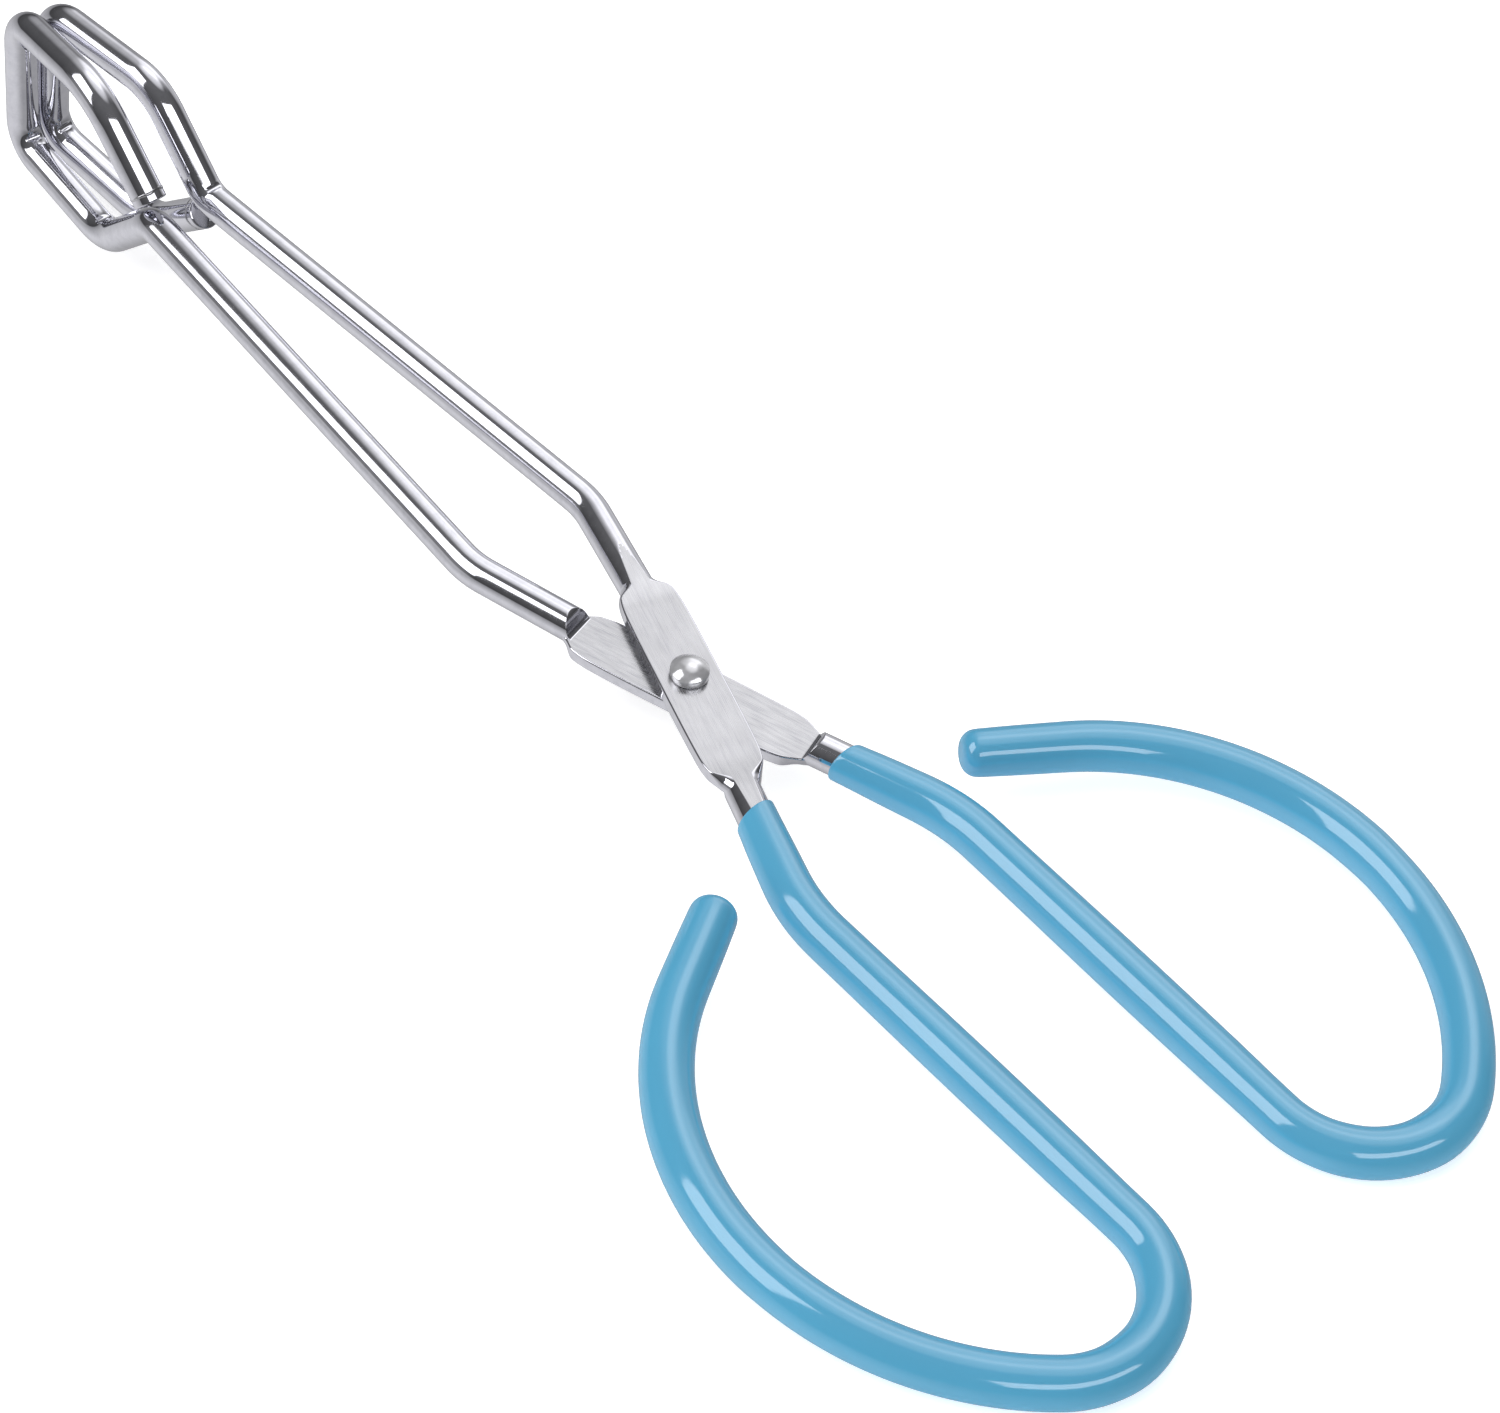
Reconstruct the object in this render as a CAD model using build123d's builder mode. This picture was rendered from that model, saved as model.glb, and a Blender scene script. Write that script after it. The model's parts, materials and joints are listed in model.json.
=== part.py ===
from build123d import *
from math import cos, radians, sin, tan
import os

# Jar lifter: scissor-action wire tongs with coated finger bows and closed wire jaws.
# All lengths are in millimetres.  The two arms are one and the same bent wire; the
# upper arm is the lower arm turned half a turn about the long axis of the tongs.
# X runs along the tongs towards the jaws, Z along the pivot rivet.

os.makedirs("parts", exist_ok=True)

# --- wire and plates ---------------------------------------------------------
WIRE_D = 4.76            # 3/16 in round bar
WIRE_R = WIRE_D / 2
PLATE_T = 1.80           # pressed plate at the pivot
PLATE_GAP = 0.06         # running gap between the two plates
PLATE_ANGLE = 18.9       # plate direction from the long axis
PLATE_HALF_W = 4.20      # at the rivet
SHOULDER_HALF_W = 4.10   # where the shoulders start
NECK_HALF_W = 2.15       # shoulders have died into the wire here
PLATE_EDGE_R = 0.22      # rounding of the outer face
LAP_EDGE_R = 0.28        # rounding of the half-lap face
JAW_STEP = (16.1, 17.9)  # foot and top of the half-lap step, jaw side
BOW_STEP = (18.2, 19.4)  # and bow side
JAW_TAPER = ((15.5, PLATE_T), (18.5, 2.14), (23.0, WIRE_R))  # outer face rises to the wire
BOW_TAPER = ((16.5, PLATE_T), (19.5, 2.06), (29.0, WIRE_R))

# --- pivot rivet -------------------------------------------------------------
SHANK_R = 1.60
HOLE_R = 1.65
HEAD_R = 2.56
HEAD_RIM = 1.05
HEAD_DOME = 1.10
TAIL_R = 2.40
TAIL_RIM = 0.45
TAIL_DOME = 0.60

# --- jaw side of the wire, measured from the rivet ---------------------------
JAW_NECK = (14.6, 4.94, 0.0)
ARM_BEND = (31.6, 9.92, 0.0)
THROAT = (107.2, 4.75, 0.0)
LOOP_MID_FIRST = (118.6, 3.80, -12.1)
LOOP_TIP_FIRST = (140.7, 2.52, -10.8)
LOOP_TIP_LAST = (141.0, 2.62, 11.4)
LOOP_MID_LAST = (120.2, 5.20, 14.8)
LOOP_END = (107.9, 4.70, 3.4)
JAW_CORNERS = (
    JAW_NECK, ARM_BEND, THROAT,
    LOOP_MID_FIRST, LOOP_TIP_FIRST, LOOP_TIP_LAST, LOOP_MID_LAST, LOOP_END,
)
JAW_RADII = (13.0, 4.5, 8.5, 4.6, 4.6, 10.5)

# --- handle side of the wire -------------------------------------------------
HANDLE_NECK = (-15.2, -5.16)
NECK_LEAN = 20.8         # lean of the neck from the long axis
NECK_RUN = 17.5          # straight neck before the bend
NECK_BEND_R = 26.7
GRIP_LEAN = 0.4          # the straight of the bow opens by this much
GRIP_RUN = 52.5
TURN_R = 13.65           # tight turn at the back of the bow
TURN_ANGLE = 127.2
BACK_R = 42.9            # long outer curve of the bow
BACK_ANGLE = 46.7
SIDE_R = 40.0
SIDE_ANGLE = 65.6
END_RUN = 13.7           # straight lead to the free end

# --- coating on the finger bow -----------------------------------------------
GRIP_R = 3.30
GRIP_NECK_R = 2.78       # thinner where the dipped coating starts
GRIP_BORE_R = WIRE_R + 0.03
GRIP_START = 5.5         # bare neck between the path start and the thin end
GRIP_TAPER = 10.8
MOUTH_X = -21.6          # the dip line is square to the long axis
MOUTH_FILLET = 0.25
GRIP_END_WALL = 1.6      # coating past the end of the wire
GRIP_END_FILLET = 2.1

# --- weld at the end of the wire ---------------------------------------------
WELD_R = WIRE_R + 0.38
WELD_LEN = 0.9
WELD_BACK = 1.2          # weld centre, back along the wire from its end

# The row's origin is the middle of the bounding box, so the rivet sits behind it.
BOW_BACK = -107.45 - GRIP_R
JAW_FRONT = LOOP_TIP_LAST[0] + WIRE_R
PIVOT_X = -(BOW_BACK + JAW_FRONT) / 2
PIVOT = Vector(PIVOT_X, 0, 0)


def at_pivot(point):
    """A point measured from the rivet, in the tongs' own frame."""
    return Vector(*point) + PIVOT


def bend(before, corner, after, radius):
    """Start, middle and end of the circular bend that rounds one corner."""
    to_before = (before - corner).normalized()
    to_after = (after - corner).normalized()
    half = radians(to_before.get_angle(to_after)) / 2
    bisector = (to_before + to_after).normalized()
    reach = radius / tan(half)
    crown = radius / sin(half) - radius
    return corner + to_before * reach, corner + bisector * crown, corner + to_after * reach


def bent_wire(corners, radii):
    """Straight runs and circular bends through a list of corners."""
    here = corners[0]
    for i, radius in enumerate(radii, start=1):
        start, middle, end = bend(corners[i - 1], corners[i], corners[i + 1], radius)
        Line(here, start)
        ThreePointArc(start, middle, end)
        here = end
    Line(here, corners[-1])


def handle_path(start_skip, end_skip):
    """Centre line of the finger bow, from the neck round to the free end."""
    lean = radians(NECK_LEAN)
    outwards = Vector(-cos(lean), -sin(lean), 0)
    start = at_pivot(HANDLE_NECK) + outwards * start_skip
    neck = Line(start, start + outwards * (NECK_RUN - start_skip))
    knee = JernArc(neck @ 1, neck % 1, NECK_BEND_R, -(NECK_LEAN + GRIP_LEAN))
    straight = Line(knee @ 1, knee @ 1 + (knee % 1) * GRIP_RUN)
    turn = JernArc(straight @ 1, straight % 1, TURN_R, TURN_ANGLE)
    back = JernArc(turn @ 1, turn % 1, BACK_R, BACK_ANGLE)
    side = JernArc(back @ 1, back % 1, SIDE_R, SIDE_ANGLE)
    Line(side @ 1, side @ 1 + (side % 1) * (END_RUN - end_skip))


plate_dir = Vector(cos(radians(PLATE_ANGLE)), sin(radians(PLATE_ANGLE)), 0)
plate_plane = Plane(origin=PIVOT, x_dir=plate_dir, z_dir=(0, 0, 1))
side_plane = Plane(origin=PIVOT, x_dir=plate_dir, z_dir=-plate_plane.y_dir)

# --- the bent wire, before the hole: lower arm -------------------------------
with BuildLine() as jaw_line:
    bent_wire([at_pivot(corner) for corner in JAW_CORNERS], JAW_RADII)

with BuildLine() as bow_line:
    handle_path(0, GRIP_END_WALL)

with BuildPart() as pivot_plate:
    with BuildSketch(plate_plane.offset(-PLATE_T)):
        with BuildLine():
            left = ThreePointArc(
                (-13.0, SHOULDER_HALF_W),
                (-1.0, PLATE_HALF_W),
                (11.5, SHOULDER_HALF_W),
            )
            Spline(
                left @ 1,
                (15.0, 3.62),
                (16.4, 2.75),
                (17.4, NECK_HALF_W),
                tangents=(left % 1, (1, -0.35)),
            )
            Line((17.4, NECK_HALF_W), (17.4, -NECK_HALF_W))
            right = ThreePointArc(
                (11.5, -SHOULDER_HALF_W),
                (-1.0, -PLATE_HALF_W),
                (-13.0, -SHOULDER_HALF_W),
            )
            Spline(
                (17.4, -NECK_HALF_W),
                (16.4, -2.75),
                (15.0, -3.62),
                right @ 0,
                tangents=((-1, -0.35), right % 0),
            )
            Spline(
                right @ 1,
                (-15.6, -3.75),
                (-17.3, -3.00),
                (-18.9, -NECK_HALF_W),
                tangents=(right % 1, (-1, 0.35)),
            )
            Line((-18.9, -NECK_HALF_W), (-18.9, NECK_HALF_W))
            Spline(
                (-18.9, NECK_HALF_W),
                (-17.3, 3.00),
                (-15.6, 3.75),
                left @ 0,
                tangents=((1, 0.35), left % 0),
            )
        make_face()
    extrude(amount=PLATE_T - PLATE_GAP / 2)
    fillet(pivot_plate.faces().sort_by(Axis.Z)[0].edges(), radius=PLATE_EDGE_R)
    fillet(pivot_plate.faces().sort_by(Axis.Z)[-1].edges(), radius=LAP_EDGE_R)

with BuildPart() as lower_arm:
    with BuildSketch(Plane(jaw_line.line @ 0, z_dir=jaw_line.line % 0)):
        Circle(WIRE_R)
    sweep(path=jaw_line.line)
    with BuildSketch(Plane(bow_line.line @ 0, z_dir=bow_line.line % 0)):
        Circle(WIRE_R)
    sweep(path=bow_line.line)
    # Upper half pressed away between two steps.
    with BuildSketch(side_plane):
        with BuildLine():
            Polyline(
                (-BOW_STEP[1], 2 * WIRE_R),
                (-BOW_STEP[1], WIRE_R),
                (-BOW_STEP[0], -PLATE_GAP / 2),
                (JAW_STEP[0], -PLATE_GAP / 2),
                (JAW_STEP[1], WIRE_R),
                (JAW_STEP[1], 2 * WIRE_R),
                close=True,
            )
        make_face()
    extrude(amount=2 * PLATE_HALF_W, both=True, mode=Mode.SUBTRACT)
    # Outer face pressed flat, rising gently back to the round wire.
    with BuildSketch(side_plane):
        with BuildLine():
            Polyline(
                (-BOW_TAPER[2][0], -2 * WIRE_R),
                *[(-u, -z) for u, z in reversed(BOW_TAPER)],
                *[(u, -z) for u, z in JAW_TAPER],
                (JAW_TAPER[2][0], -2 * WIRE_R),
                close=True,
            )
        make_face()
    extrude(amount=2 * PLATE_HALF_W, both=True, mode=Mode.SUBTRACT)
    add(pivot_plate.part)
    with Locations(PIVOT):
        Cylinder(HOLE_R, 4 * PLATE_T, mode=Mode.SUBTRACT)

lower_arm.part.label = "lower_arm"
export_step(lower_arm.part, "parts/lower_arm.step")

# --- upper arm: the same wire turned over ------------------------------------
with BuildPart() as upper_arm:
    add(lower_arm.part.rotate(Axis.X, 180))
upper_arm.part.label = "upper_arm"
export_step(upper_arm.part, "parts/upper_arm.step")

# --- coating on the lower arm's bow ------------------------------------------
with BuildLine() as coating_line:
    handle_path(GRIP_START + GRIP_TAPER, 0)

neck_dir = (coating_line.line % 0).normalized()
neck_start = coating_line.line @ 0 - neck_dir * GRIP_TAPER

with BuildPart() as lower_grip:
    with BuildSketch(Plane(coating_line.line @ 0, z_dir=neck_dir)):
        Circle(GRIP_R)
    sweep(path=coating_line.line)
    free_end = lower_grip.faces().filter_by(GeomType.PLANE).sort_by(Axis.Y)[-2]
    fillet(free_end.edges(), radius=GRIP_END_FILLET)
    with BuildSketch(Plane(neck_start, z_dir=neck_dir)):
        Circle(GRIP_NECK_R)
    with BuildSketch(Plane(coating_line.line @ 0, z_dir=neck_dir)):
        Circle(GRIP_R)
    loft()
    # Square dip line.
    with Locations(at_pivot((MOUTH_X, HANDLE_NECK[1], 0))):
        Box(
            4 * GRIP_R, 8 * GRIP_R, 4 * GRIP_R,
            align=(Align.MIN, Align.CENTER, Align.CENTER),
            mode=Mode.SUBTRACT,
        )
    fillet(lower_grip.edges().sort_by(Axis.X)[-1], radius=MOUTH_FILLET)
    with BuildSketch(Plane(bow_line.line @ 0, z_dir=bow_line.line % 0)):
        Circle(GRIP_BORE_R)
    sweep(path=bow_line.line, mode=Mode.SUBTRACT)
lower_grip.part.label = "lower_grip"
export_step(lower_grip.part, "parts/lower_grip.step")

# --- coating on the upper arm's bow ------------------------------------------
with BuildPart() as upper_grip:
    add(lower_grip.part.rotate(Axis.X, 180))
upper_grip.part.label = "upper_grip"
export_step(upper_grip.part, "parts/upper_grip.step")

# --- rivet: domed head above, formed tail below ------------------------------
head_base = PLATE_T + PLATE_GAP / 2
head_top = head_base + HEAD_RIM + HEAD_DOME
tail_tip = head_base + TAIL_RIM + TAIL_DOME
head_curve = (HEAD_R**2 + HEAD_DOME**2) / (2 * HEAD_DOME)
tail_curve = (TAIL_R**2 + TAIL_DOME**2) / (2 * TAIL_DOME)
with BuildPart() as pivot_rivet:
    with BuildSketch(Plane(origin=PIVOT, x_dir=(1, 0, 0), z_dir=(0, -1, 0))):
        with BuildLine():
            Line((0, -tail_tip), (0, head_top))
            RadiusArc((0, head_top), (HEAD_R, head_base + HEAD_RIM), head_curve)
            Polyline(
                (HEAD_R, head_base + HEAD_RIM),
                (HEAD_R, head_base),
                (SHANK_R, head_base),
                (SHANK_R, -head_base),
                (TAIL_R, -head_base),
                (TAIL_R, -head_base - TAIL_RIM),
            )
            RadiusArc((TAIL_R, -head_base - TAIL_RIM), (0, -tail_tip), tail_curve)
        make_face()
    revolve(axis=Axis(PIVOT, (0, 0, 1)))
pivot_rivet.part.label = "pivot_rivet"
export_step(pivot_rivet.part, "parts/pivot_rivet.step")

# --- weld round the end of the wire, where the jaw loop closes ----------------
weld_dir = (jaw_line.line % 1).normalized()
weld_plane = Plane(jaw_line.line @ 1 - weld_dir * WELD_BACK, z_dir=weld_dir)
with BuildPart() as lower_jaw_weld:
    with BuildSketch(weld_plane):
        Circle(WELD_R)
    extrude(amount=WELD_LEN / 2, both=True)
    fillet(lower_jaw_weld.edges(), radius=0.3)
    add(lower_arm.part, mode=Mode.SUBTRACT)
lower_jaw_weld.part.label = "lower_jaw_weld"
export_step(lower_jaw_weld.part, "parts/lower_jaw_weld.step")

with BuildPart() as upper_jaw_weld:
    add(lower_jaw_weld.part.rotate(Axis.X, 180))
upper_jaw_weld.part.label = "upper_jaw_weld"
export_step(upper_jaw_weld.part, "parts/upper_jaw_weld.step")
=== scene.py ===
"""Jar lifter: the looks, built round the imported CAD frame."""
import json
import math

import bmesh
import bpy
from mathutils import Matrix, Vector


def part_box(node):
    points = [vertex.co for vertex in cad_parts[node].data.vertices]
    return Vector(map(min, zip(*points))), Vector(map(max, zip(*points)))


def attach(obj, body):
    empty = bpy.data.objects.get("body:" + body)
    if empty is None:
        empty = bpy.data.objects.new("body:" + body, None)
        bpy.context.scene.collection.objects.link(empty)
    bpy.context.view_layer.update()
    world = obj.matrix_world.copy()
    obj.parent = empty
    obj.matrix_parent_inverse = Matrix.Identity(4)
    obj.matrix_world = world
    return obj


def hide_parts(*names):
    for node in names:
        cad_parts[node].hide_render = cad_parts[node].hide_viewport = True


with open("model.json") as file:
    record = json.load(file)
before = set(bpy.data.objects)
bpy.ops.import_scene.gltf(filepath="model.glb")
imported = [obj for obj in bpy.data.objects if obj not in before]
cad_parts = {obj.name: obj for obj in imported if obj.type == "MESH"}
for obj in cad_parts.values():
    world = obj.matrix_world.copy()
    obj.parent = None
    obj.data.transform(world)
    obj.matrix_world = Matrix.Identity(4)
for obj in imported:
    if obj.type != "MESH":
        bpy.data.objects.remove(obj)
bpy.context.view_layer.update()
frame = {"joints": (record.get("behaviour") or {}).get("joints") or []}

MM = 0.001
UV_PER_MM = 0.01
ROUND_N = 64

# --- sizes shared with the CAD model, in millimetres from the rivet ------------
WIRE_R = 2.38
PLATE_T, PLATE_GAP, PLATE_ANGLE = 1.80, 0.06, 18.9
# The gentle bends where the bar leaves the plate: distance from the rivet, and radius.
JAW_SIDE_KINK, BOW_SIDE_KINK, KINK_R = 14.18, 17.3, 40.0
PLATE_FILLET, SHOULDER_FILLET, LAP_FILLET = 0.24, 1.60, 0.26
JAW_SHOULDER, BOW_SHOULDER, SHOULDER_RUN = 14.6, 15.6, 2.3
# Half width of the pressed plate by distance from the rivet, bow side first.
PLATE_WIDTHS = [
    (-20.6, 1.20), (-18.9, 2.20), (-17.3, 3.00), (-15.6, 3.75), (-13.0, 4.10), (-1.0, 4.20),
    (11.5, 4.10), (15.0, 3.62), (16.4, 2.75), (17.4, 2.20), (18.9, 1.20),
]
# Where the half-lap step starts and ends, and the depth of the outer face by distance.
JAW_STEP, BOW_STEP = (16.0, 18.0), (18.0, 19.6)
JAW_TAPER = [(12.0, 1.80), (14.0, 1.82), (18.5, 2.12), (23.5, 2.38)]
BOW_TAPER = [(12.0, 1.80), (15.0, 1.83), (19.5, 2.09), (29.0, 2.38)]
HEAD_R, HEAD_RIM, HEAD_DOME = 2.56, 1.05, 1.10
TAIL_R, TAIL_RIM, TAIL_DOME = 2.40, 0.45, 0.60
SHANK_R, HOLE_R = 1.60, 1.65
# The neck of the bow: where it starts, its lean in degrees, its run, and where the arm joins it.
BOW_NECK = Vector((-15.2, -5.16, 0.0))
NECK_LEAN, NECK_RUN, NECK_JOIN = 20.8, 17.5, 9.0
# The finger bow after the neck: arcs as (radius, turn in degrees) round one straight run.
BOW_ARCS_OUT, BOW_STRAIGHT = [(26.7, -21.2)], 52.5
BOW_ARCS_BACK = [(13.65, 127.2), (42.9, 46.7), (40.0, 65.6)]
# The arm in front of the plate: the long run, then the corners of the closed jaw loop.
JAW_CORNERS = [
    (31.6, 9.92, 0.0), (107.2, 4.75, 0.0), (118.6, 3.80, -12.1), (140.7, 2.52, -10.8),
    (141.0, 2.62, 11.4), (120.2, 5.20, 14.8), (107.9, 4.70, 3.4),
]
JAW_RADII = [13.0, 4.5, 8.5, 4.6, 4.6, 10.5]
# Small flats that the bending tool left outside the tight bends: depth and half length.
BEND_FLAT, BEND_FLAT_HALF = 0.35, 1.0
# The weld bead round the end of the wire: its place back from the end, half width and swell.
WELD_BACK, WELD_HALF, WELD_SWELL = 1.2, 0.28, 0.20
# Radius of the dipped coating by length along the bow; it runs thicker in places.
GRIP_SIZES = [
    (6.0, 2.80), (8.0, 2.83), (12.0, 2.97), (16.0, 3.07), (20.0, 3.14), (25.0, 3.19), (33.0, 3.22),
    (53.0, 3.32), (69.0, 3.24), (77.0, 3.12), (85.0, 3.12), (89.0, 3.20), (97.0, 3.25), (101.0, 3.34),
    (105.0, 3.26), (145.0, 3.25), (149.0, 3.32), (169.0, 3.38), (185.0, 3.33), (194.0, 3.25),
    (198.0, 3.20), (202.0, 3.12), (205.0, 3.08),
]
# The coating's square mouth, its start along the neck, and its rounded free end.
MOUTH_X, MOUTH_FILLET, MOUTH_DEPTH, MOUTH_BLEND, BORE_R = -21.6, 0.28, 0.45, 4.5, 2.41
GRIP_START, GRIP_END_FILLET = 6.9, 2.1
WIRE_END_RUN, GRIP_END_RUN = 12.1, 13.7
# Where the closed tool touches the floor it lies on.
JAW_REST_X, BOW_REST_X = 119.0, -95.0
PIVOT = Vector(frame["joints"][0]["pos_m"])


# --- paths ---------------------------------------------------------------------
def rounded(corners, radii, step_deg=3.0):
    """Points along straight runs joined by circular bends, with each bend's middle."""
    pts, mids = [Vector(corners[0])], []
    for before, corner, after, radius in zip(corners, corners[1:], corners[2:], radii):
        corner = Vector(corner)
        u = (Vector(before) - corner).normalized()
        v = (Vector(after) - corner).normalized()
        half = u.angle(v) / 2
        inward = (u + v).normalized()
        centre = corner + inward * radius / math.sin(half)
        arm = corner + u * radius / math.tan(half) - centre
        leg = corner + v * radius / math.tan(half) - centre
        axis = arm.cross(leg).normalized()
        turn = math.pi - 2 * half
        n = max(4, math.ceil(math.degrees(turn) / step_deg))
        for k in range(n + 1):
            pts.append(centre + Matrix.Rotation(turn * k / n, 3, axis) @ arm)
        mids.append((centre - inward * radius, inward))
    pts.append(Vector(corners[-1]))
    return pts, mids


def arc_run(start, heading, radius, turn_deg, step_deg=2.0):
    """Points of a flat arc that leaves start along heading, and the heading at its end."""
    side = 1 if turn_deg > 0 else -1
    centre = start + Vector((-heading.y, heading.x, 0)) * radius * side
    n = max(4, math.ceil(abs(turn_deg) / step_deg))
    pts = []
    for k in range(1, n + 1):
        rot = Matrix.Rotation(math.radians(turn_deg) * k / n, 3, "Z")
        pts.append(centre + rot @ (start - centre))
    return pts, Matrix.Rotation(math.radians(turn_deg), 3, "Z") @ heading


def bow_path(start_skip, end_run):
    """Centre line of the lower finger bow, from the neck round to its free end."""
    lean = math.radians(NECK_LEAN)
    heading = Vector((-math.cos(lean), -math.sin(lean), 0))
    pts = [BOW_NECK + heading * start_skip, BOW_NECK + heading * NECK_RUN]
    for arcs, straight in ((BOW_ARCS_OUT, BOW_STRAIGHT), (BOW_ARCS_BACK, end_run)):
        for radius, turn in arcs:
            run, heading = arc_run(pts[-1], heading, radius, turn)
            pts += run
        pts.append(pts[-1] + heading * straight)
    return pts


def resample(pts, spacing):
    """Points spaced by spacing(s) along the polyline; s runs from its start."""
    lengths = [0.0]
    for a, b in zip(pts, pts[1:]):
        lengths.append(lengths[-1] + (b - a).length)
    out, s, i = [], 0.0, 0
    while s < lengths[-1] - 1e-6:
        while lengths[i + 1] < s:
            i += 1
        f = (s - lengths[i]) / max(lengths[i + 1] - lengths[i], 1e-9)
        out.append((pts[i].lerp(pts[i + 1], f), s))
        s += spacing(s)
    if lengths[-1] - out[-1][1] < 0.3 * spacing(lengths[-1]):
        out.pop()
    out.append((pts[-1], lengths[-1]))
    return out


def frames(points):
    """Tangent, side and up at each point, carried along without twisting."""
    n = len(points)
    rows, up = [], Vector((0, 0, 1))
    for i, p in enumerate(points):
        t = (points[min(i + 1, n - 1)] - points[max(i - 1, 0)]).normalized()
        up = (up - t * up.dot(t)).normalized()
        rows.append((p, t, up.cross(t), up))
    return rows


def through(points, x):
    """Value at x of a smooth curve through (x, value) points, level beyond them."""
    if x <= points[0][0]:
        return points[0][1]
    if x >= points[-1][0]:
        return points[-1][1]
    last = len(points) - 1
    i = max(k for k in range(last) if points[k][0] <= x)

    def slope(k):
        (x0, y0), (x1, y1) = points[max(k - 1, 0)], points[min(k + 1, last)]
        return (y1 - y0) / (x1 - x0)

    (x0, y0), (x1, y1) = points[i], points[i + 1]
    h = x1 - x0
    f = (x - x0) / h
    rise = f * f * (3 - 2 * f)
    return y0 + (y1 - y0) * rise + h * (slope(i) * f * (1 - f) ** 2 - slope(i + 1) * f * f * (1 - f))


def smooth(a, b, x):
    """0 below a, 1 above b, eased between."""
    x = min(max((x - a) / (b - a), 0.0), 1.0)
    return x * x * (3 - 2 * x)


# --- mesh helpers ----------------------------------------------------------------
def mesh_object(name, rings, along, body, flip, materials, face_mats=None):
    """A smooth skin over rings of equal size, in millimetres from the rivet.

    along gives each ring's length along the piece, for the UV map."""
    n = len(rings[0])
    turn = Vector((1, -1, -1)) if flip else Vector((1, 1, 1))
    mesh = bmesh.new()
    verts = [[mesh.verts.new(v * turn * MM + PIVOT) for v in ring] for ring in rings]
    uv = mesh.loops.layers.uv.new("UVMap")
    for i in range(len(rings) - 1):
        for j in range(n):
            k = (j + 1) % n
            face = mesh.faces.new((verts[i][j], verts[i][k], verts[i + 1][k], verts[i + 1][j]))
            face.smooth = True
            if face_mats:
                face.material_index = face_mats(i, j)
            corners = ((i, j), (i, j + 1), (i + 1, j + 1), (i + 1, j))
            for loop, (ring, place) in zip(face.loops, corners):
                loop[uv].uv = (along[ring] * UV_PER_MM, place / n)
    for ring in (verts[0], verts[-1]):
        mesh.faces.new(ring).smooth = True
    bmesh.ops.recalc_face_normals(mesh, faces=mesh.faces)
    data = bpy.data.meshes.new(name)
    mesh.to_mesh(data)
    mesh.free()
    for m in materials:
        data.materials.append(m)
    obj = bpy.data.objects.new(name, data)
    bpy.context.scene.collection.objects.link(obj)
    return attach(obj, body)


def lathe(profile, segments):
    """Rings of a turned shape about Z, from (radius, height) pairs."""
    rings = []
    for radius, height in profile:
        ring = []
        for k in range(segments):
            a = 2 * math.pi * k / segments
            ring.append(Vector((radius * math.cos(a), radius * math.sin(a), height)))
        rings.append(ring)
    return rings


# --- materials -------------------------------------------------------------------
class Nodes:
    """Short hand for building a node tree."""

    def __init__(self, tree):
        self.tree = tree
        tree.nodes.clear()

    def add(self, kind, inputs=None, **settings):
        node = self.tree.nodes.new(kind)
        for key, value in settings.items():
            setattr(node, key, value)
        for key, value in (inputs or {}).items():
            if isinstance(value, bpy.types.NodeSocket):
                self.tree.links.new(value, node.inputs[key])
            else:
                node.inputs[key].default_value = value
        return node

    def math(self, op, a, b=0.0, c=0.0):
        return self.add("ShaderNodeMath", {0: a, 1: b, 2: c}, operation=op).outputs[0]

    def noise(self, vector, scale, detail=3.0, rough=0.5):
        inputs = {"Vector": vector, "Scale": scale, "Detail": detail, "Roughness": rough}
        return self.add("ShaderNodeTexNoise", inputs).outputs["Fac"]

    def stretch(self, vector, scale):
        return self.add("ShaderNodeMapping", {"Vector": vector, "Scale": scale}).outputs[0]

    def span(self, value, low, high, to_low, to_high, ease="LINEAR"):
        inputs = {"Value": value, "From Min": low, "From Max": high, "To Min": to_low, "To Max": to_high}
        return self.add("ShaderNodeMapRange", inputs, interpolation_type=ease).outputs[0]

    def colours(self, factor, stops):
        ramp = self.add("ShaderNodeValToRGB", {"Fac": factor})
        bar = ramp.color_ramp.elements
        bar[0].position, bar[0].color = stops[0][0], (*stops[0][1], 1)
        bar[1].position, bar[1].color = stops[-1][0], (*stops[-1][1], 1)
        for place, colour in stops[1:-1]:
            bar.new(place).color = (*colour, 1)
        return ramp.outputs["Color"]

    def bump(self, height, distance, strength=1.0, normal=None):
        inputs = {"Height": height, "Distance": distance, "Strength": strength}
        if normal is not None:
            inputs["Normal"] = normal
        return self.add("ShaderNodeBump", inputs).outputs[0]

    def surface(self, inputs):
        shader = self.add("ShaderNodeBsdfPrincipled", inputs)
        self.add("ShaderNodeOutputMaterial", {"Surface": shader.outputs[0]})


def material(name):
    mat = bpy.data.materials.new(name)
    mat.use_nodes = True
    return mat, Nodes(mat.node_tree)


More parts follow.
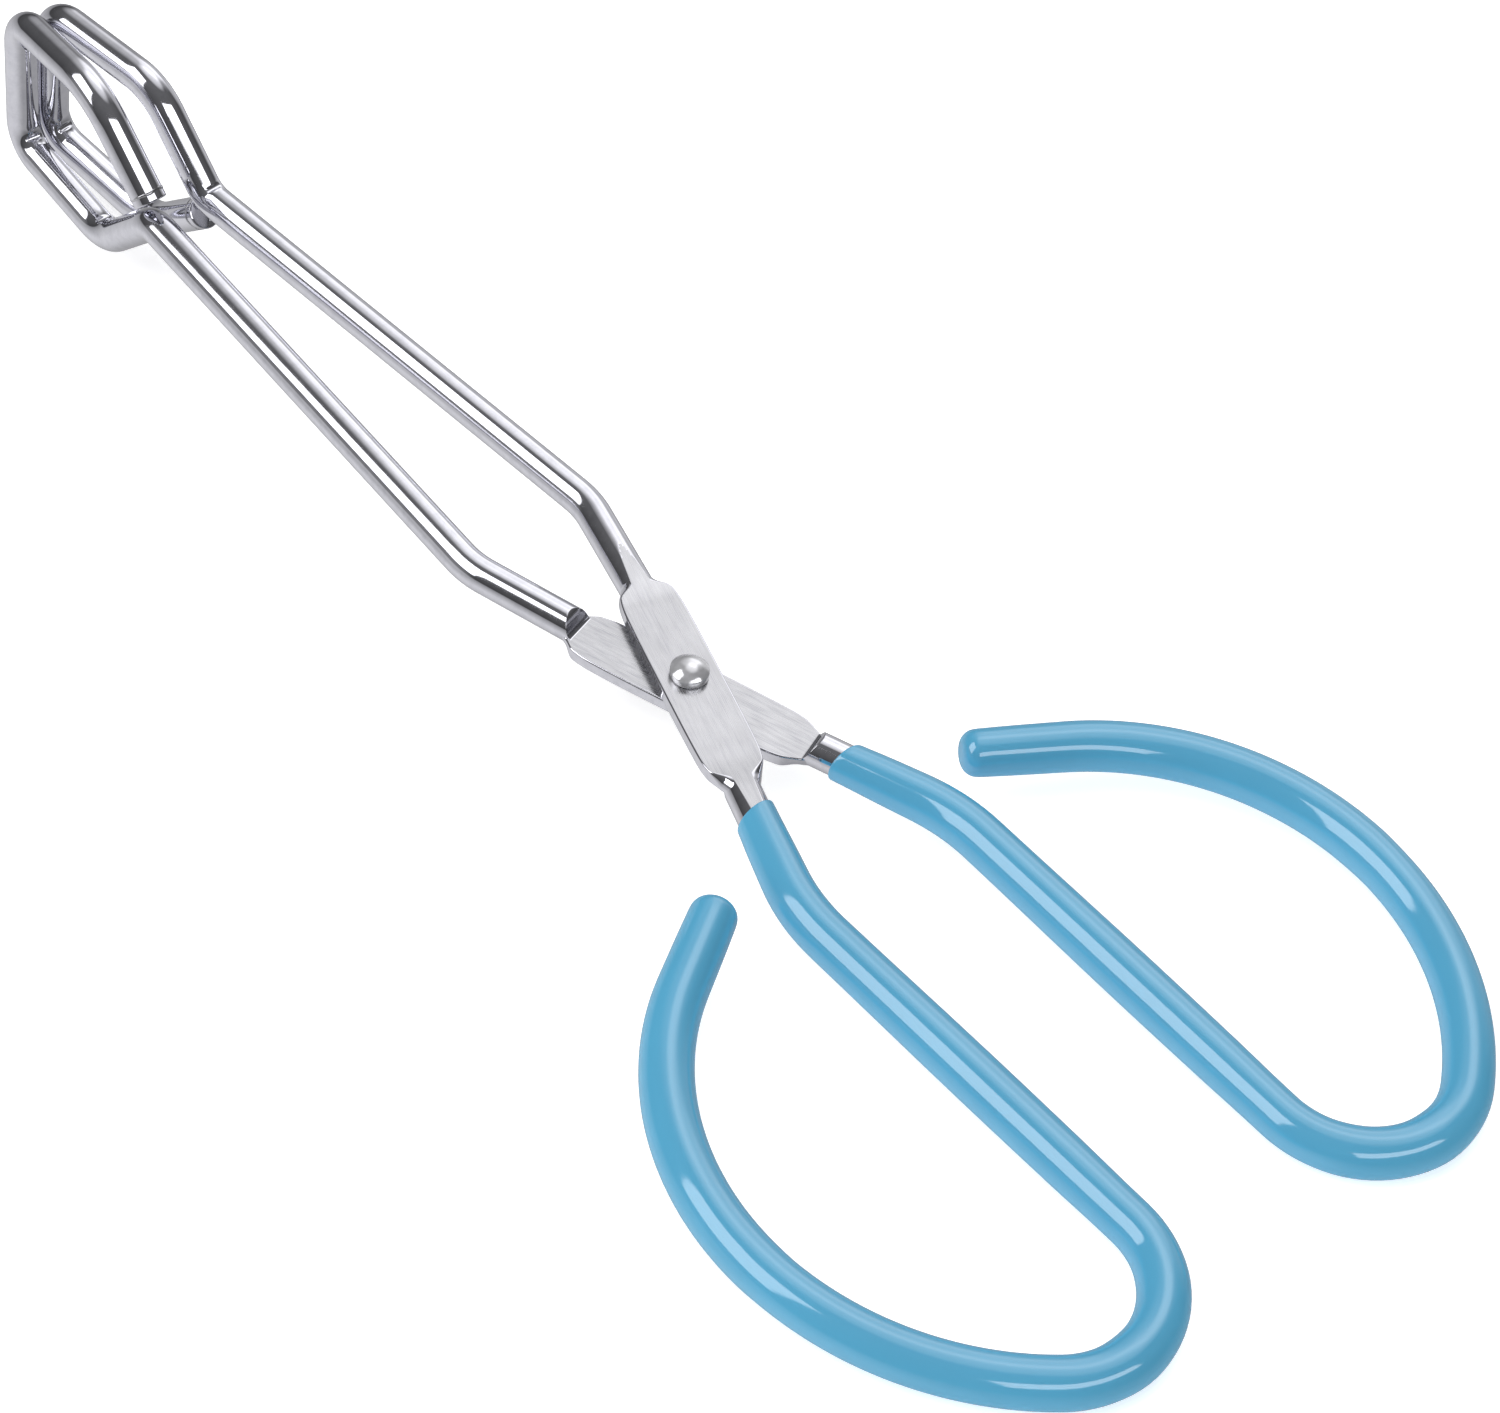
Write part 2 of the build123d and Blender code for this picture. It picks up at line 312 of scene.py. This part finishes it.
def chrome_material():
    """Bright plated wire: almost a mirror, with faint drawing lines and soft waviness."""
    mat, t = material("polished_wire")
    coord = t.add("ShaderNodeTexCoord")
    lines = t.noise(t.stretch(coord.outputs["UV"], (6.0, 160.0, 1.0)), 1.0, 3.0, 0.6)
    waves = t.noise(coord.outputs["Object"], 90.0, 2.0, 0.5)
    haze = t.noise(coord.outputs["Object"], 700.0, 4.0, 0.6)
    stops = [(0.30, (0.73, 0.73, 0.78)), (0.55, (0.80, 0.80, 0.85)), (0.80, (0.84, 0.84, 0.88))]
    tone = t.colours(haze, stops)
    rough = t.math("ADD", t.span(haze, 0.3, 0.8, 0.03, 0.08), t.span(lines, 0.3, 0.8, 0.0, 0.04))
    soft = t.bump(waves, 0.00008, 0.15)
    fine = t.bump(lines, 0.000003, 0.2, soft)
    t.surface({"Base Color": tone, "Metallic": 1.0, "Roughness": rough, "Normal": fine})
    return mat


def brushed_material(name, angle, dim, streak):
    """Pressed plate faces: satin, with fine lines and coarser streaks along the plate; dim scales the
    whole tone, and the lower plate's smaller dim is painted shade from the upper plate lying over it.
    """
    mat, t = material(name)
    coord = t.add("ShaderNodeTexCoord")
    inputs = {"Vector": coord.outputs["Object"], "Angle": math.radians(angle)}
    turned = t.add("ShaderNodeVectorRotate", inputs)
    long_lines = t.noise(t.stretch(turned.outputs[0], (120.0, 5200.0, 900.0)), 1.0, 4.0, 0.65)
    patches = t.noise(coord.outputs["Object"], 260.0, 3.0, 0.5)
    stops = [(0.25, (0.48, 0.48, 0.505)), (0.5, (0.585, 0.585, 0.60)), (0.8, (0.655, 0.655, 0.67))]
    streaks = t.noise(t.stretch(turned.outputs[0], (230.0, 2100.0, 600.0)), 1.0, 3.0, 0.6)
    mixed = t.math("MULTIPLY_ADD", t.math("SUBTRACT", streaks, 0.5), streak, long_lines)
    # dim darkens the tone; the lower plate's extra darkening is painted shade from the upper plate.
    tone = t.colours(mixed, [(place, tuple(dim * c for c in colour)) for place, colour in stops])
    worn = t.span(patches, 0.3, 0.7, -0.03, 0.04)
    rough = t.math("ADD", t.span(long_lines, 0.3, 0.75, 0.22, 0.34), worn)
    t.surface({
        "Base Color": tone, "Metallic": 1.0, "Roughness": rough,
        "Normal": t.bump(long_lines, 0.00001, 0.35),
    })
    return mat


def rivet_material():
    """Formed rivet: bright but not a full mirror, with tiny dents."""
    mat, t = material("rivet_metal")
    coord = t.add("ShaderNodeTexCoord")
    dents = t.noise(coord.outputs["Object"], 1600.0, 3.0, 0.5)
    tone = t.colours(dents, [(0.3, (0.78, 0.78, 0.80)), (0.7, (0.90, 0.90, 0.92))])
    rough = t.span(dents, 0.3, 0.75, 0.12, 0.18)
    dented = t.bump(dents, 0.00001, 0.2)
    t.surface({"Base Color": tone, "Metallic": 0.70, "Roughness": rough, "Normal": dented})
    return mat


def weld_material():
    """Weld bead under the plating: rippled, duller than the wire."""
    mat, t = material("weld_metal")
    coord = t.add("ShaderNodeTexCoord")
    ripple = t.noise(coord.outputs["Object"], 1500.0, 4.0, 0.6)
    tone = t.colours(ripple, [(0.3, (0.45, 0.45, 0.48)), (0.7, (0.74, 0.74, 0.76))])
    rough = t.span(ripple, 0.3, 0.75, 0.16, 0.38)
    rippled = t.bump(ripple, 0.00008, 0.6)
    t.surface({"Base Color": tone, "Metallic": 1.0, "Roughness": rough, "Normal": rippled})
    return mat


def vinyl_material():
    """Dipped vinyl: glossy pale blue with a faint orange-peel skin."""
    mat, t = material("blue_vinyl")
    coord = t.add("ShaderNodeTexCoord")
    cloud = t.noise(coord.outputs["Object"], 45.0, 2.0, 0.5)
    peel = t.noise(coord.outputs["Object"], 420.0, 2.0, 0.5)
    dust = t.noise(coord.outputs["Object"], 2600.0, 4.0, 0.65)
    tone = t.colours(cloud, [(0.30, (0.092, 0.388, 0.602)), (0.70, (0.100, 0.412, 0.636))])
    rough = t.math("ADD", t.span(peel, 0.3, 0.7, 0.05, 0.08), t.span(dust, 0.35, 0.7, 0.0, 0.015))
    skin = t.bump(dust, 0.000006, 0.2, t.bump(peel, 0.00004, 0.2))
    t.surface({
        "Base Color": tone, "Roughness": rough, "IOR": 1.60, "Specular IOR Level": 1.0,
        "Normal": skin,
    })
    return mat


# --- the arm: one bar, round at both ends and pressed flat at the rivet ------------
# Every ring has the same points: places across a flat, then steps over the shoulder, the
# ledge and the side. Where the bar is round, the flat's places cover CAP_DEG either side.
FLAT_STEPS = (-1.0, -0.97, -0.9, -0.72, -0.48, -0.24, 0.0, 0.24, 0.48, 0.72, 0.9, 0.97, 1.0)
SHOULDER_N, LEDGE_N, SIDE_N = 8, 4, 22
CAP_DEG = 20.0
# From ROUND_SIDES the round bar shows past the plate's sides; over EVEN_SIDES the ring's
# points even out to those of a round bar.
ROUND_SIDES, EVEN_SIDES = 12.5, (15.5, 19.5)


def inner_face(u):
    """Height of the half-lap face and the rolled steps that rise from it to the round bar."""
    foot, crest = JAW_STEP if u > 0 else BOW_STEP
    return -PLATE_GAP / 2 + (WIRE_R + PLATE_GAP / 2) * smooth(foot, crest, abs(u))


def outer_face(u):
    """Depth of the outer face, rising gently to meet the round bar."""
    return -through(JAW_TAPER if u > 0 else BOW_TAPER, abs(u))


def round_reach(z):
    """How far the round bar stands out at height z."""
    return math.sqrt(max(WIRE_R**2 - z * z, 0.0))


def pressed_reach(z, low, high, w, fillet):
    """How far the pressed plate stands out at height z, with its two rounded edges."""
    if w <= PLATE_FILLET or z < low - 1e-9 or z > high + 1e-9:
        return 0.0
    reach = w
    if z < low + fillet:
        dz = low + fillet - z
        reach = w - fillet + math.sqrt(max(fillet**2 - dz * dz, 0.0))
    if z > high - LAP_FILLET:
        dz = z - high + LAP_FILLET
        reach = min(reach, w - LAP_FILLET + math.sqrt(max(LAP_FILLET**2 - dz * dz, 0.0)))
    return reach


def eased(k, n):
    """Steps from 0 to 1, closer together at both ends."""
    return (1 - math.cos(math.pi * k / n)) / 2


def arm_section(u):
    """One ring of (side, height, on a flat) round the bar at a distance u from the rivet."""
    top, bottom = inner_face(u), outer_face(u)
    w = through(PLATE_WIDTHS, u) if PLATE_WIDTHS[0][0] < u < PLATE_WIDTHS[-1][0] else 0.0
    high = -PLATE_GAP / 2
    shoulder = JAW_SHOULDER if u > 0 else BOW_SHOULDER
    rounding = smooth(shoulder, shoulder + SHOULDER_RUN, abs(u))
    fillet = PLATE_FILLET + (SHOULDER_FILLET - PLATE_FILLET) * rounding
    pressed = w - LAP_FILLET > WIRE_R
    on_lap = top < high + 0.02
    cap = math.sin(math.radians(CAP_DEG)) * WIRE_R
    ring, side = [], []
    if on_lap:
        half_top, edge = WIRE_R, max(w - LAP_FILLET, WIRE_R)
        ring += [(s * half_top, high, True) for s in FLAT_STEPS]
        for k in range(1, SHOULDER_N + 1):
            side.append((half_top + (edge - half_top) * 0.7 * k / SHOULDER_N, high, True))
        start = side[-1][0]
        side += [(start + (edge - start) * k / LEDGE_N, high, True) for k in range(1, LEDGE_N + 1)]
    else:
        half_top = max(round_reach(top), cap)
        for s in FLAT_STEPS:
            v = s * half_top
            ring.append((v, min(top, round_reach(v)), False))
        tilt = math.asin(half_top / WIRE_R)
        level = math.pi / 2 + math.asin(-high / WIRE_R)
        steps = SHOULDER_N if pressed else SHOULDER_N + LEDGE_N
        for k in range(1, steps + 1):
            a = tilt + (level - tilt) * k / steps
            side.append((WIRE_R * math.sin(a), WIRE_R * math.cos(a), False))
        if pressed:
            start, edge = side[-1][0], w - LAP_FILLET
            side += [(start + (edge - start) * k / LEDGE_N, high, True) for k in range(1, LEDGE_N + 1)]
    half_low = max(round_reach(bottom), cap)
    if w - fillet > half_low:
        half_low, low = w - fillet, bottom
    else:
        low = -round_reach(half_low)
    level = math.asin(-high / WIRE_R)
    depth = math.asin(min(-low / WIRE_R, 1.0))
    for k in range(1, SIDE_N):
        a = level + (depth - level) * k / SIDE_N
        even = -WIRE_R * math.sin(a)
        mix = smooth(*EVEN_SIDES, abs(u))
        z = even * mix + (high + (low - high) * eased(k, SIDE_N)) * (1 - mix)
        bar = round_reach(z) if abs(u) > ROUND_SIDES else 0.0
        side.append((max(bar, pressed_reach(z, bottom, high, w, fillet)), z, False))
    ring += side
    for s in FLAT_STEPS:
        v = -s * half_low
        z = bottom if half_low > cap + 1e-6 else -round_reach(v)
        ring.append((v, max(z, bottom), z <= bottom + 1e-6 and bottom > -WIRE_R + 0.01))
    ring += [(-v, z, flat) for v, z, flat in reversed(side)]
    return ring


def make_arm(name, body, flip, materials):
    """One arm's whole bar, from the end inside the coating round to the throat of the jaw."""
    a = math.radians(PLATE_ANGLE)
    plate = Vector((math.cos(a), math.sin(a), 0))
    bow = bow_path(NECK_JOIN, WIRE_END_RUN)
    corners = [bow[0], plate * -BOW_SIDE_KINK, plate * JAW_SIDE_KINK] + JAW_CORNERS
    front, mids = rounded(corners, [KINK_R, KINK_R] + JAW_RADII)
    line = list(reversed(bow[1:])) + front
    # The length along the bar at which it passes the rivet.
    rivet_s, run, best = 0.0, 0.0, 1e9
    for p, q in zip(line, line[1:]):
        seg = q - p
        f = min(max(-p.dot(seg) / seg.length_squared, 0.0), 1.0)
        if (p + seg * f).length < best:
            best, rivet_s = (p + seg * f).length, run + f * seg.length
        run += seg.length

    def spacing(s):
        """Rings lie closest where the section changes, and far apart on the long runs."""
        u = s - rivet_s
        if 14.5 < abs(u) < 20.5:
            return 0.10
        if abs(u) < 30:
            return 0.25 if abs(u) > 11 else 0.8
        return 0.30 if u > 100 else 1.0

    pts = resample(line, spacing)
    # The middles of the four bends that the bending tool has left flat outside.
    marks = mids[3:7]
    rings, flats = [], []
    for (p, t, side, up), (_, s) in zip(frames([q for q, _ in pts]), pts):
        ring, flat = [], []
        near = [(m, inward) for m, inward in marks if (p - m).length < 3 * BEND_FLAT_HALF]
        for v, z, on_flat in arm_section(s - rivet_s):
            off = side * v + up * z
            for m, inward in near:
                fade = smooth(BEND_FLAT_HALF / 2, BEND_FLAT_HALF, abs((p - m).dot(t)))
                limit = WIRE_R - BEND_FLAT * (1 - fade)
                over = off.dot(inward) - limit
                if over > 0:
                    off = off - inward * over
            ring.append(p + off)
            flat.append(on_flat)
        rings.append(ring)
        flats.append(flat)
    along = [s for _, s in pts]
    # The cut end at the throat has a small bevel.
    end, last, n = pts[-1][0], rings[-1], len(rings[0])
    for scale, push in ((0.985, 0.06), (0.93, 0.13), (0.84, 0.16), (0.5, 0.16)):
        rings.append([end + (v - end) * scale + t * push for v in last])
        flats.append([False] * n)
        along.append(along[-1] + 0.1)

    def face_mats(i, j):
        k = (j + 1) % n
        return int(flats[i][j] and flats[i][k] and flats[i + 1][j] and flats[i + 1][k])

    return mesh_object(name, rings, along, body, flip, materials, face_mats)


def make_grip(name, body, flip, mat):
    """The dipped coating: a square mouth, an uneven skin along the bow and a rounded end."""
    line = bow_path(GRIP_START, GRIP_END_RUN)
    pts = resample(line, lambda s: 0.4 if s < 5 else 1.0)
    total = pts[-1][1]
    pts = [(p, s) for p, s in pts if s < total - GRIP_END_FILLET - 0.3]
    rows = frames([p for p, _ in pts] + [line[-1]])
    rings, along = [], []

    def place(p, t, side, up, radius, s, ahead=0.0, tilt=0.0):
        """A ring at p; tilt 1 leans it into a plane square to the long axis."""
        ring = []
        for k in range(ROUND_N):
            a = 2 * math.pi * k / ROUND_N
            v = p + side * math.cos(a) * radius + up * math.sin(a) * radius
            lean = (p.x - v.x) / t.x
            ring.append(v + t * (ahead + lean * tilt))
        rings.append(ring)
        along.append(s)

    p0, t0, side0, up0 = rows[0]
    p0 = p0 + t0 * (MOUTH_X - p0.x) / t0.x
    mouth_r = GRIP_SIZES[0][1]
    lip = mouth_r - MOUTH_FILLET
    for ahead, radius in ((0.30, BORE_R), (0.05, BORE_R + 0.05), (0.0, BORE_R + 0.12), (0.0, lip)):
        place(p0, t0, side0, up0, radius, 0.0, ahead, 1.0)
    for k in range(1, 6):
        a = math.radians(18 * k)
        ahead, radius = MOUTH_FILLET * (1 - math.cos(a)), lip + MOUTH_FILLET * math.sin(a)
        place(p0, t0, side0, up0, radius, ahead, ahead, 1.0)
    for (p, s), (_, t, side, up) in zip(pts, rows):
        if s > MOUTH_DEPTH:
            radius = through(GRIP_SIZES, s + GRIP_START)
            place(p, t, side, up, radius, s, 0.0, 1 - smooth(0.0, MOUTH_BLEND, s))
    # Rounded free end.
    _, t1, side1, up1 = rows[-1]
    end_r = GRIP_SIZES[-1][1]
    for k in range(0, 13):
        a = math.radians(7.5 * k)
        back = GRIP_END_FILLET * (1 - math.sin(a))
        radius = end_r - GRIP_END_FILLET * (1 - math.cos(a))
        place(line[-1] - t1 * back, t1, side1, up1, radius, total - back)
    for radius, bulge in ((0.7, 0.02), (0.35, 0.03)):
        place(line[-1] + t1 * bulge, t1, side1, up1, radius, total)
    return mesh_object(name, rings, along, body, flip, [mat])


def make_rivet(name, body, mat):
    """The formed rivet: domed head, shank and low domed tail, turned about the hinge axis."""
    base = PLATE_T + PLATE_GAP / 2 + 0.01
    head, tail = [], []
    bulge = (HEAD_R**2 + HEAD_DOME**2) / (2 * HEAD_DOME)
    for k in range(15):
        r = (HEAD_R - 0.10) * k / 14
        head.append((r, base + HEAD_RIM + HEAD_DOME - bulge + math.sqrt(bulge**2 - r * r)))
    head = head[1:]
    top = head[-1][1]
    head += [(HEAD_R - 0.04, top - 0.05), (HEAD_R, top - 0.13), (HEAD_R, top - 0.3)]
    head += [(HEAD_R, base + 0.16), (HEAD_R - 0.03, base + 0.06), (HEAD_R - 0.10, base)]
    head += [(SHANK_R + 0.2, base), (SHANK_R, base - 0.05)]
    bulge = (TAIL_R**2 + TAIL_DOME**2) / (2 * TAIL_DOME)
    for k in range(1, 12):
        r = (TAIL_R - 0.10) * k / 11
        tail.append((r, -(base + TAIL_RIM + TAIL_DOME - bulge + math.sqrt(bulge**2 - r * r))))
    tail.reverse()
    low = tail[0][1]
    rim = [(SHANK_R, -base + 0.05), (SHANK_R + 0.2, -base), (TAIL_R - 0.08, -base)]
    rim += [(TAIL_R, -base - 0.08), (TAIL_R, low + 0.12), (TAIL_R - 0.04, low + 0.04)]
    profile = head + rim + tail
    along = [0.0]
    for (r0, z0), (r1, z1) in zip(profile, profile[1:]):
        along.append(along[-1] + math.hypot(r1 - r0, z1 - z0))
    return mesh_object(name, lathe(profile, 96), along, body, False, [mat])


def make_weld(name, body, flip, mat):
    """An uneven bead round the wire near its end, where the loop comes back to the arm."""
    end = Vector(JAW_CORNERS[-1])
    t = (end - Vector(JAW_CORNERS[-2])).normalized()
    side = t.cross(Vector((0, 1, 0))).normalized()
    up = side.cross(t)
    centre = end - t * WELD_BACK
    rings, along = [], []
    for k in range(13):
        a = math.pi * k / 12
        ring = []
        for j in range(ROUND_N):
            b = 2 * math.pi * j / ROUND_N
            swell = WELD_SWELL + 0.04 * math.sin(3 * b + 0.7) + 0.03 * math.sin(7 * b)
            radius = WIRE_R - 0.12 + swell * math.sin(a)
            wave = 0.15 * math.sin(2 * b + 1.0)
            shift = 0.07 * math.sin(5 * b) - WELD_HALF * math.cos(a) * (1 + wave)
            ring.append(centre + (side * math.cos(b) + up * math.sin(b)) * radius + t * shift)
        rings.append(ring)
        along.append(0.1 * k)
    return mesh_object(name, rings, along, body, flip, [mat])


def cut_hole(obj):
    """Cuts the rivet hole through a plate."""
    data = bpy.data.meshes.new("hole")
    mesh = bmesh.new()
    radius = HOLE_R * MM
    bmesh.ops.create_cone(mesh, cap_ends=True, segments=48, radius1=radius, radius2=radius, depth=0.02)
    bmesh.ops.translate(mesh, verts=mesh.verts, vec=PIVOT)
    mesh.to_mesh(data)
    mesh.free()
    cutter = bpy.data.objects.new("hole", data)
    bpy.context.scene.collection.objects.link(cutter)
    mod = obj.modifiers.new("hole", "BOOLEAN")
    mod.operation, mod.solver, mod.object = "DIFFERENCE", "EXACT", cutter
    bpy.context.view_layer.update()
    depsgraph = bpy.context.evaluated_depsgraph_get()
    done = bpy.data.meshes.new_from_object(obj.evaluated_get(depsgraph))
    obj.modifiers.clear()
    obj.data = done
    bpy.data.objects.remove(cutter)


chrome = chrome_material()
vinyl, rivet_mat, weld_mat = vinyl_material(), rivet_material(), weld_material()

for prefix, flip in (("lower", False), ("upper", True)):
    body = prefix + "_half"
    # Each plate face gets its own brushed copy; the lower one's darker tone (0.95 against 0.98) is
    # painted shade from the upper plate over it.
    if flip:
        brushed = brushed_material(prefix + "_plate_face", PLATE_ANGLE, 0.98, 0.60)
    else:
        brushed = brushed_material(prefix + "_plate_face", -PLATE_ANGLE, 0.95, 1.10)
    arm = make_arm(prefix + "_arm_bar", body, flip, [chrome, brushed])
    cut_hole(arm)
    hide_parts(prefix + "_arm")
    grip = make_grip(prefix + "_grip_coat", body, flip, vinyl)
    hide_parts(prefix + "_grip")
    weld = make_weld(prefix + "_weld_bead", body, flip, weld_mat)
    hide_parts(prefix + "_jaw_weld")

rivet = make_rivet("rivet_body", "lower_half", rivet_mat)
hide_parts("pivot_rivet")


# --- stage: floor that the jaws and the bows both rest on ---------------------------
FLOOR_HALF, FLOOR_GAP = 6.0, 0.0004


def make_floor():
    """A pale floor that leans so that the jaws and the bows both rest on it."""
    jaw_low = min(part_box("lower_arm")[0].z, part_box("upper_arm")[0].z)
    bow_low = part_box("lower_grip")[0].z
    jaw_x, bow_x = PIVOT.x + JAW_REST_X * MM, PIVOT.x + BOW_REST_X * MM
    slope = (jaw_low - bow_low) / (jaw_x - bow_x)
    mesh = bmesh.new()
    rows = []
    for x in (-FLOOR_HALF, FLOOR_HALF):
        z = bow_low + slope * (x - bow_x) - FLOOR_GAP
        rows.append([mesh.verts.new((x, y, z)) for y in (-FLOOR_HALF, FLOOR_HALF)])
    mesh.faces.new((rows[0][0], rows[1][0], rows[1][1], rows[0][1]))
    data = bpy.data.meshes.new("floor")
    mesh.to_mesh(data)
    mesh.free()
    mat, t = material("floor")
    coord = t.add("ShaderNodeTexCoord")
    grain = t.noise(coord.outputs["Object"], 40.0, 3.0, 0.5)
    tone = t.colours(grain, [(0.3, (0.86, 0.86, 0.865)), (0.7, (0.88, 0.88, 0.885))])
    t.surface({
        "Base Color": tone, "Roughness": 0.9, "Specular IOR Level": 0.0,
        "Emission Color": (1, 1, 1, 1), "Emission Strength": 0.60,
    })
    data.materials.append(mat)
    obj = bpy.data.objects.new("floor", data)
    bpy.context.scene.collection.objects.link(obj)
    obj.visible_glossy = False


make_floor()


# --- light: a dim studio with soft boxes -------------------------------------------
def direction(azimuth, elevation):
    """The unit vector towards an azimuth and elevation in degrees."""
    a, e = math.radians(azimuth), math.radians(elevation)
    return Vector((math.cos(a) * math.cos(e), math.sin(a) * math.cos(e), math.sin(e)))


HORIZON = (-0.04, 0.03)


def make_world():
    """A dark sky over pale ground, with two crisp soft boxes, a wide dim one and some glows."""
    world = bpy.data.worlds.new("studio")
    world.use_nodes = True
    bpy.context.scene.world = world
    t = Nodes(world.node_tree)
    ray = t.add("ShaderNodeTexCoord").outputs["Generated"]

    def dot(v):
        return t.add("ShaderNodeVectorMath", {0: ray, 1: v}, operation="DOT_PRODUCT").outputs["Value"]

    def panel(corners, soft):
        """1 inside a soft-edged panel of light with these (azimuth, elevation) corners."""
        middle = sum((direction(*c) for c in corners), Vector())
        mask = None
        for c, d in zip(corners, corners[1:] + corners[:1]):
            inward = direction(*c).cross(direction(*d)).normalized()
            if inward.dot(middle) < 0:
                inward = -inward
            reach = math.sin(math.radians(soft))
            edge = t.span(dot(inward), -reach, reach, 0.0, 1.0, "SMOOTHSTEP")
            mask = edge if mask is None else t.math("MULTIPLY", mask, edge)
        return mask

    def glow(azimuth, elevation, full, gone):
        """1 within full degrees of a direction, fading to 0 at gone degrees."""
        near, far = math.cos(math.radians(full)), math.cos(math.radians(gone))
        return t.span(dot(direction(azimuth, elevation)), far, near, 0.0, 1.0, "SMOOTHSTEP")

    height = dot(Vector((0, 0, 1)))
    sky = t.math("MULTIPLY", t.span(height, 0.0, 1.0, 0.06, 0.15), t.span(height, *HORIZON, 0.0, 1.0))
    below = t.span(height, -0.6, -0.05, 0.74, 0.34)
    below = t.math("MULTIPLY", below, t.span(height, *HORIZON, 1.0, 0.0))
    lit_side = t.span(dot(direction(55, 0)), -0.1, 0.7, 0.52, 1.0, "SMOOTHSTEP")
    total = t.math("ADD", sky, t.math("MULTIPLY", below, lit_side))
    # Each light's mask and its brightness.
    parts = [
        (panel([(44, 18), (80, 18), (80, 62), (24, 54.5)], 1.0), 2.4),
        (panel([(142, 29), (-150, 31), (-150, 45), (138, 46)], 1.0), 2.3),
        (panel([(-41, 16), (-76, 16), (-84, 58), (-38, 60)], 7.0), 0.62),
        (glow(-52, 42, 8, 40), 0.45),
        (glow(-72, 6, 8, 34), 0.45),
        (glow(60, 4, 4, 24), 0.16),
        (glow(-66, 69, 10, 28), 0.65),
    ]
    for mask, level in parts:
        total = t.math("MULTIPLY_ADD", mask, level, total)
    back = t.add("ShaderNodeBackground", {"Color": (0.98, 0.98, 1.0, 1.0), "Strength": total})
    t.add("ShaderNodeOutputWorld", {"Surface": back.outputs[0]})


def area_light(name, azimuth, elevation, distance, size, power, glossy):
    data = bpy.data.lights.new(name, "AREA")
    data.shape, data.size, data.energy = "DISK", size, power
    obj = bpy.data.objects.new(name, data)
    obj.location = direction(azimuth, elevation) * distance
    obj.rotation_mode = "QUATERNION"
    obj.rotation_quaternion = direction(azimuth, elevation).to_track_quat("Z", "Y")
    obj.visible_glossy = glossy
    bpy.context.scene.collection.objects.link(obj)


make_world()
area_light("overhead", 60, 70, 1.2, 1.4, 7.0, False)

# --- camera ------------------------------------------------------------------------
EYE = PIVOT + Vector((-254.036, 277.972, 420.521)) * MM
RIGHT = Vector((-0.658247, -0.744244, 0.113192))
AHEAD = Vector((0.437704, -0.500708, -0.746797))
up_axis = RIGHT.cross(AHEAD).normalized()
cam_data = bpy.data.cameras.new("camera")
cam_data.sensor_width = 36.0
cam_data.lens = 106.37
cam_data.clip_start, cam_data.clip_end = 0.01, 50.0
camera = bpy.data.objects.new("camera", cam_data)
basis = Matrix((RIGHT, up_axis, -AHEAD)).transposed().to_4x4()
camera.matrix_world = Matrix.Translation(EYE) @ basis
bpy.context.scene.collection.objects.link(camera)
bpy.context.scene.camera = camera

bpy.context.scene.view_settings.view_transform = "Standard"
